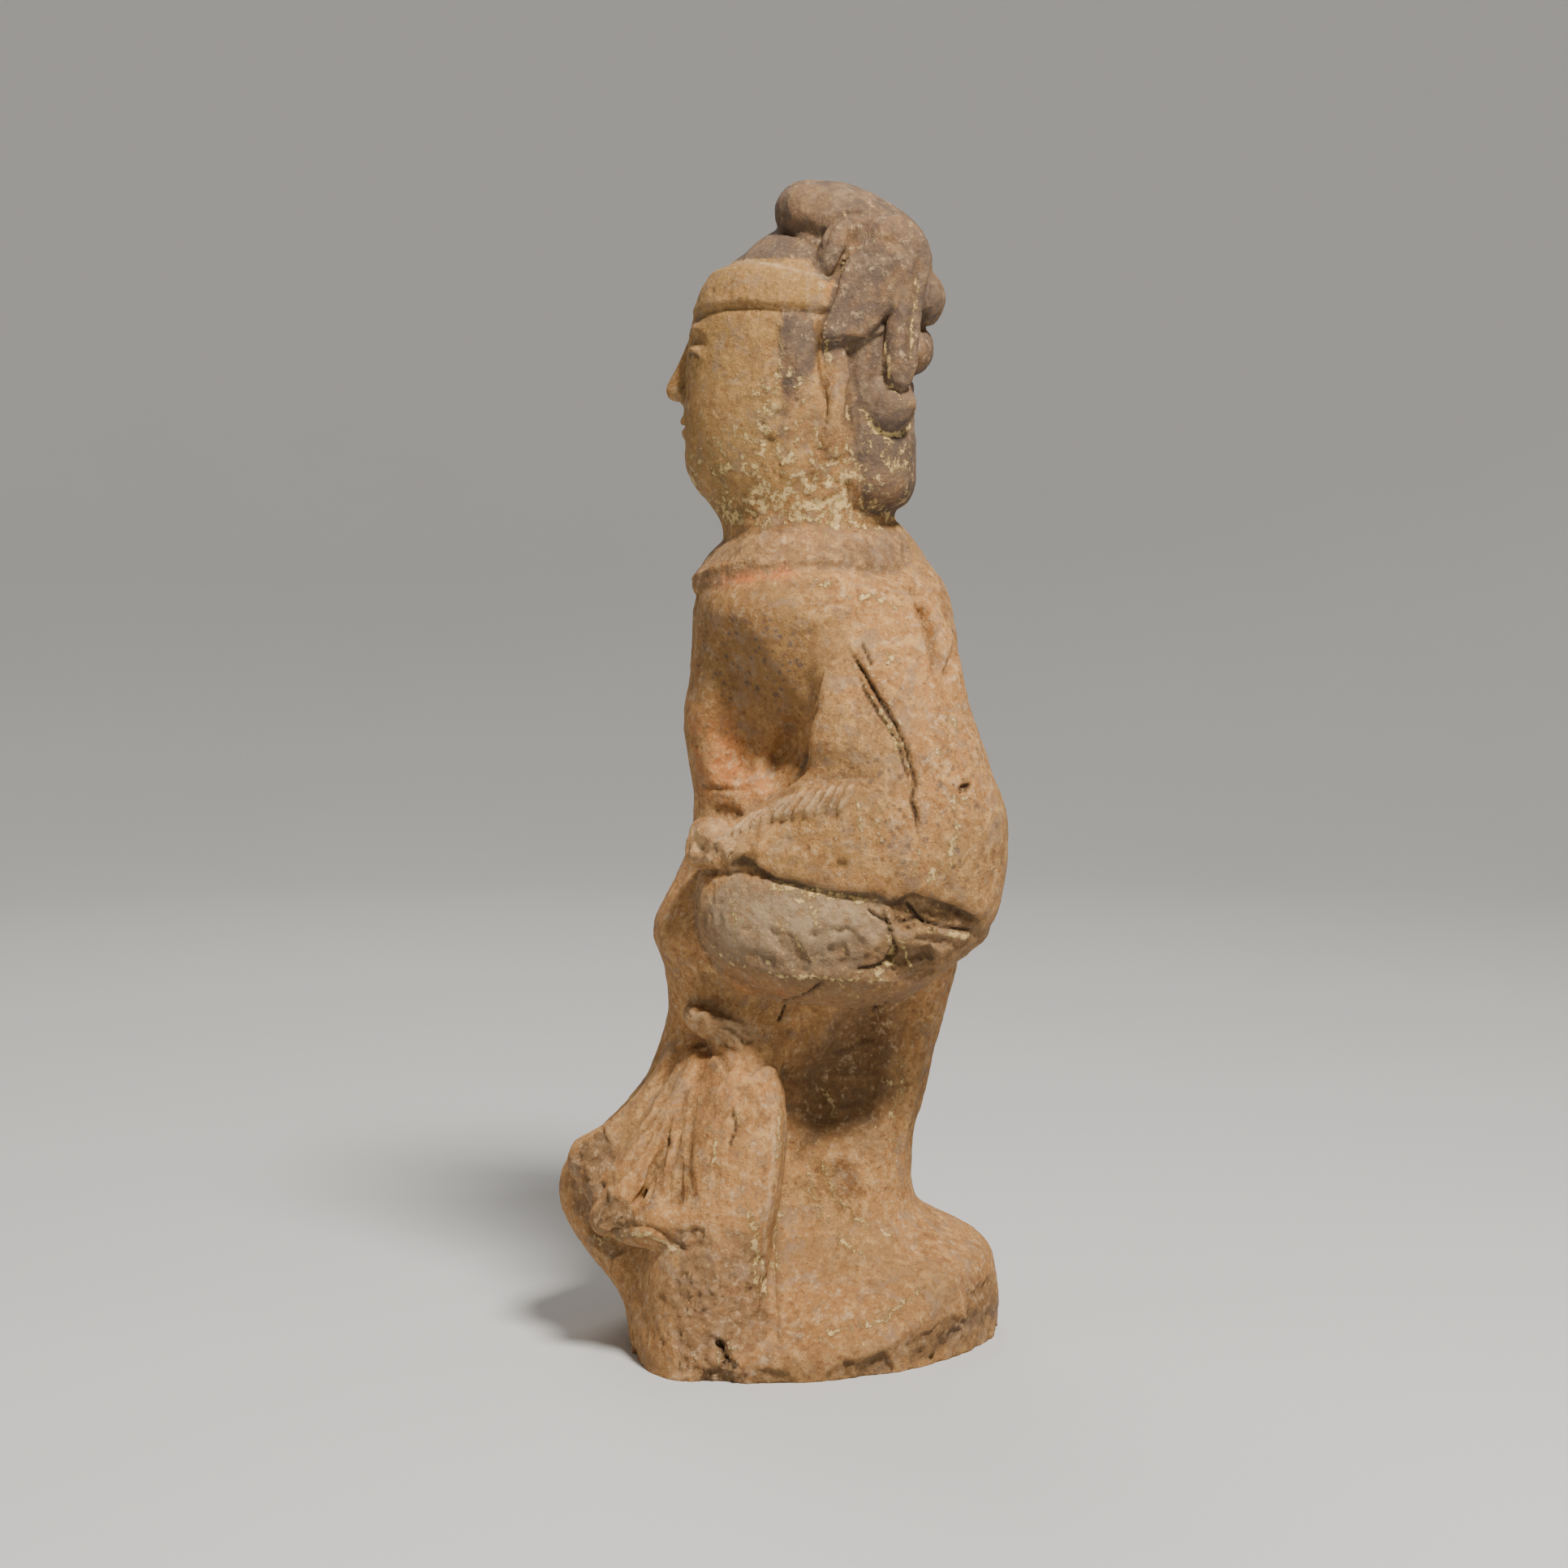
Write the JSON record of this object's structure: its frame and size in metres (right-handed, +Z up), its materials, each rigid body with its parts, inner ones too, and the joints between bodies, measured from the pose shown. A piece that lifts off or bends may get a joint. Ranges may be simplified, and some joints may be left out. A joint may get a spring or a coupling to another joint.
{
  "type": "pottery dancer figure",
  "caption": "Standing hollow pottery figure of a dancer in a long robe, one arm raised and one hand gathering the robe at the hip.",
  "frame": {"origin": "on the floor plane, in the middle of the flat underside's width, under the figure's head", "axes": "+Z up along the figure's height, -Y the way that the figure faces, +X its own left"},
  "size_m": [0.2629, 0.2316, 0.5997],
  "materials": {
    "clay": "matt"
  },
  "bodies": {
    "root": {"dancer": "clay"}
  },
  "joints": []
}
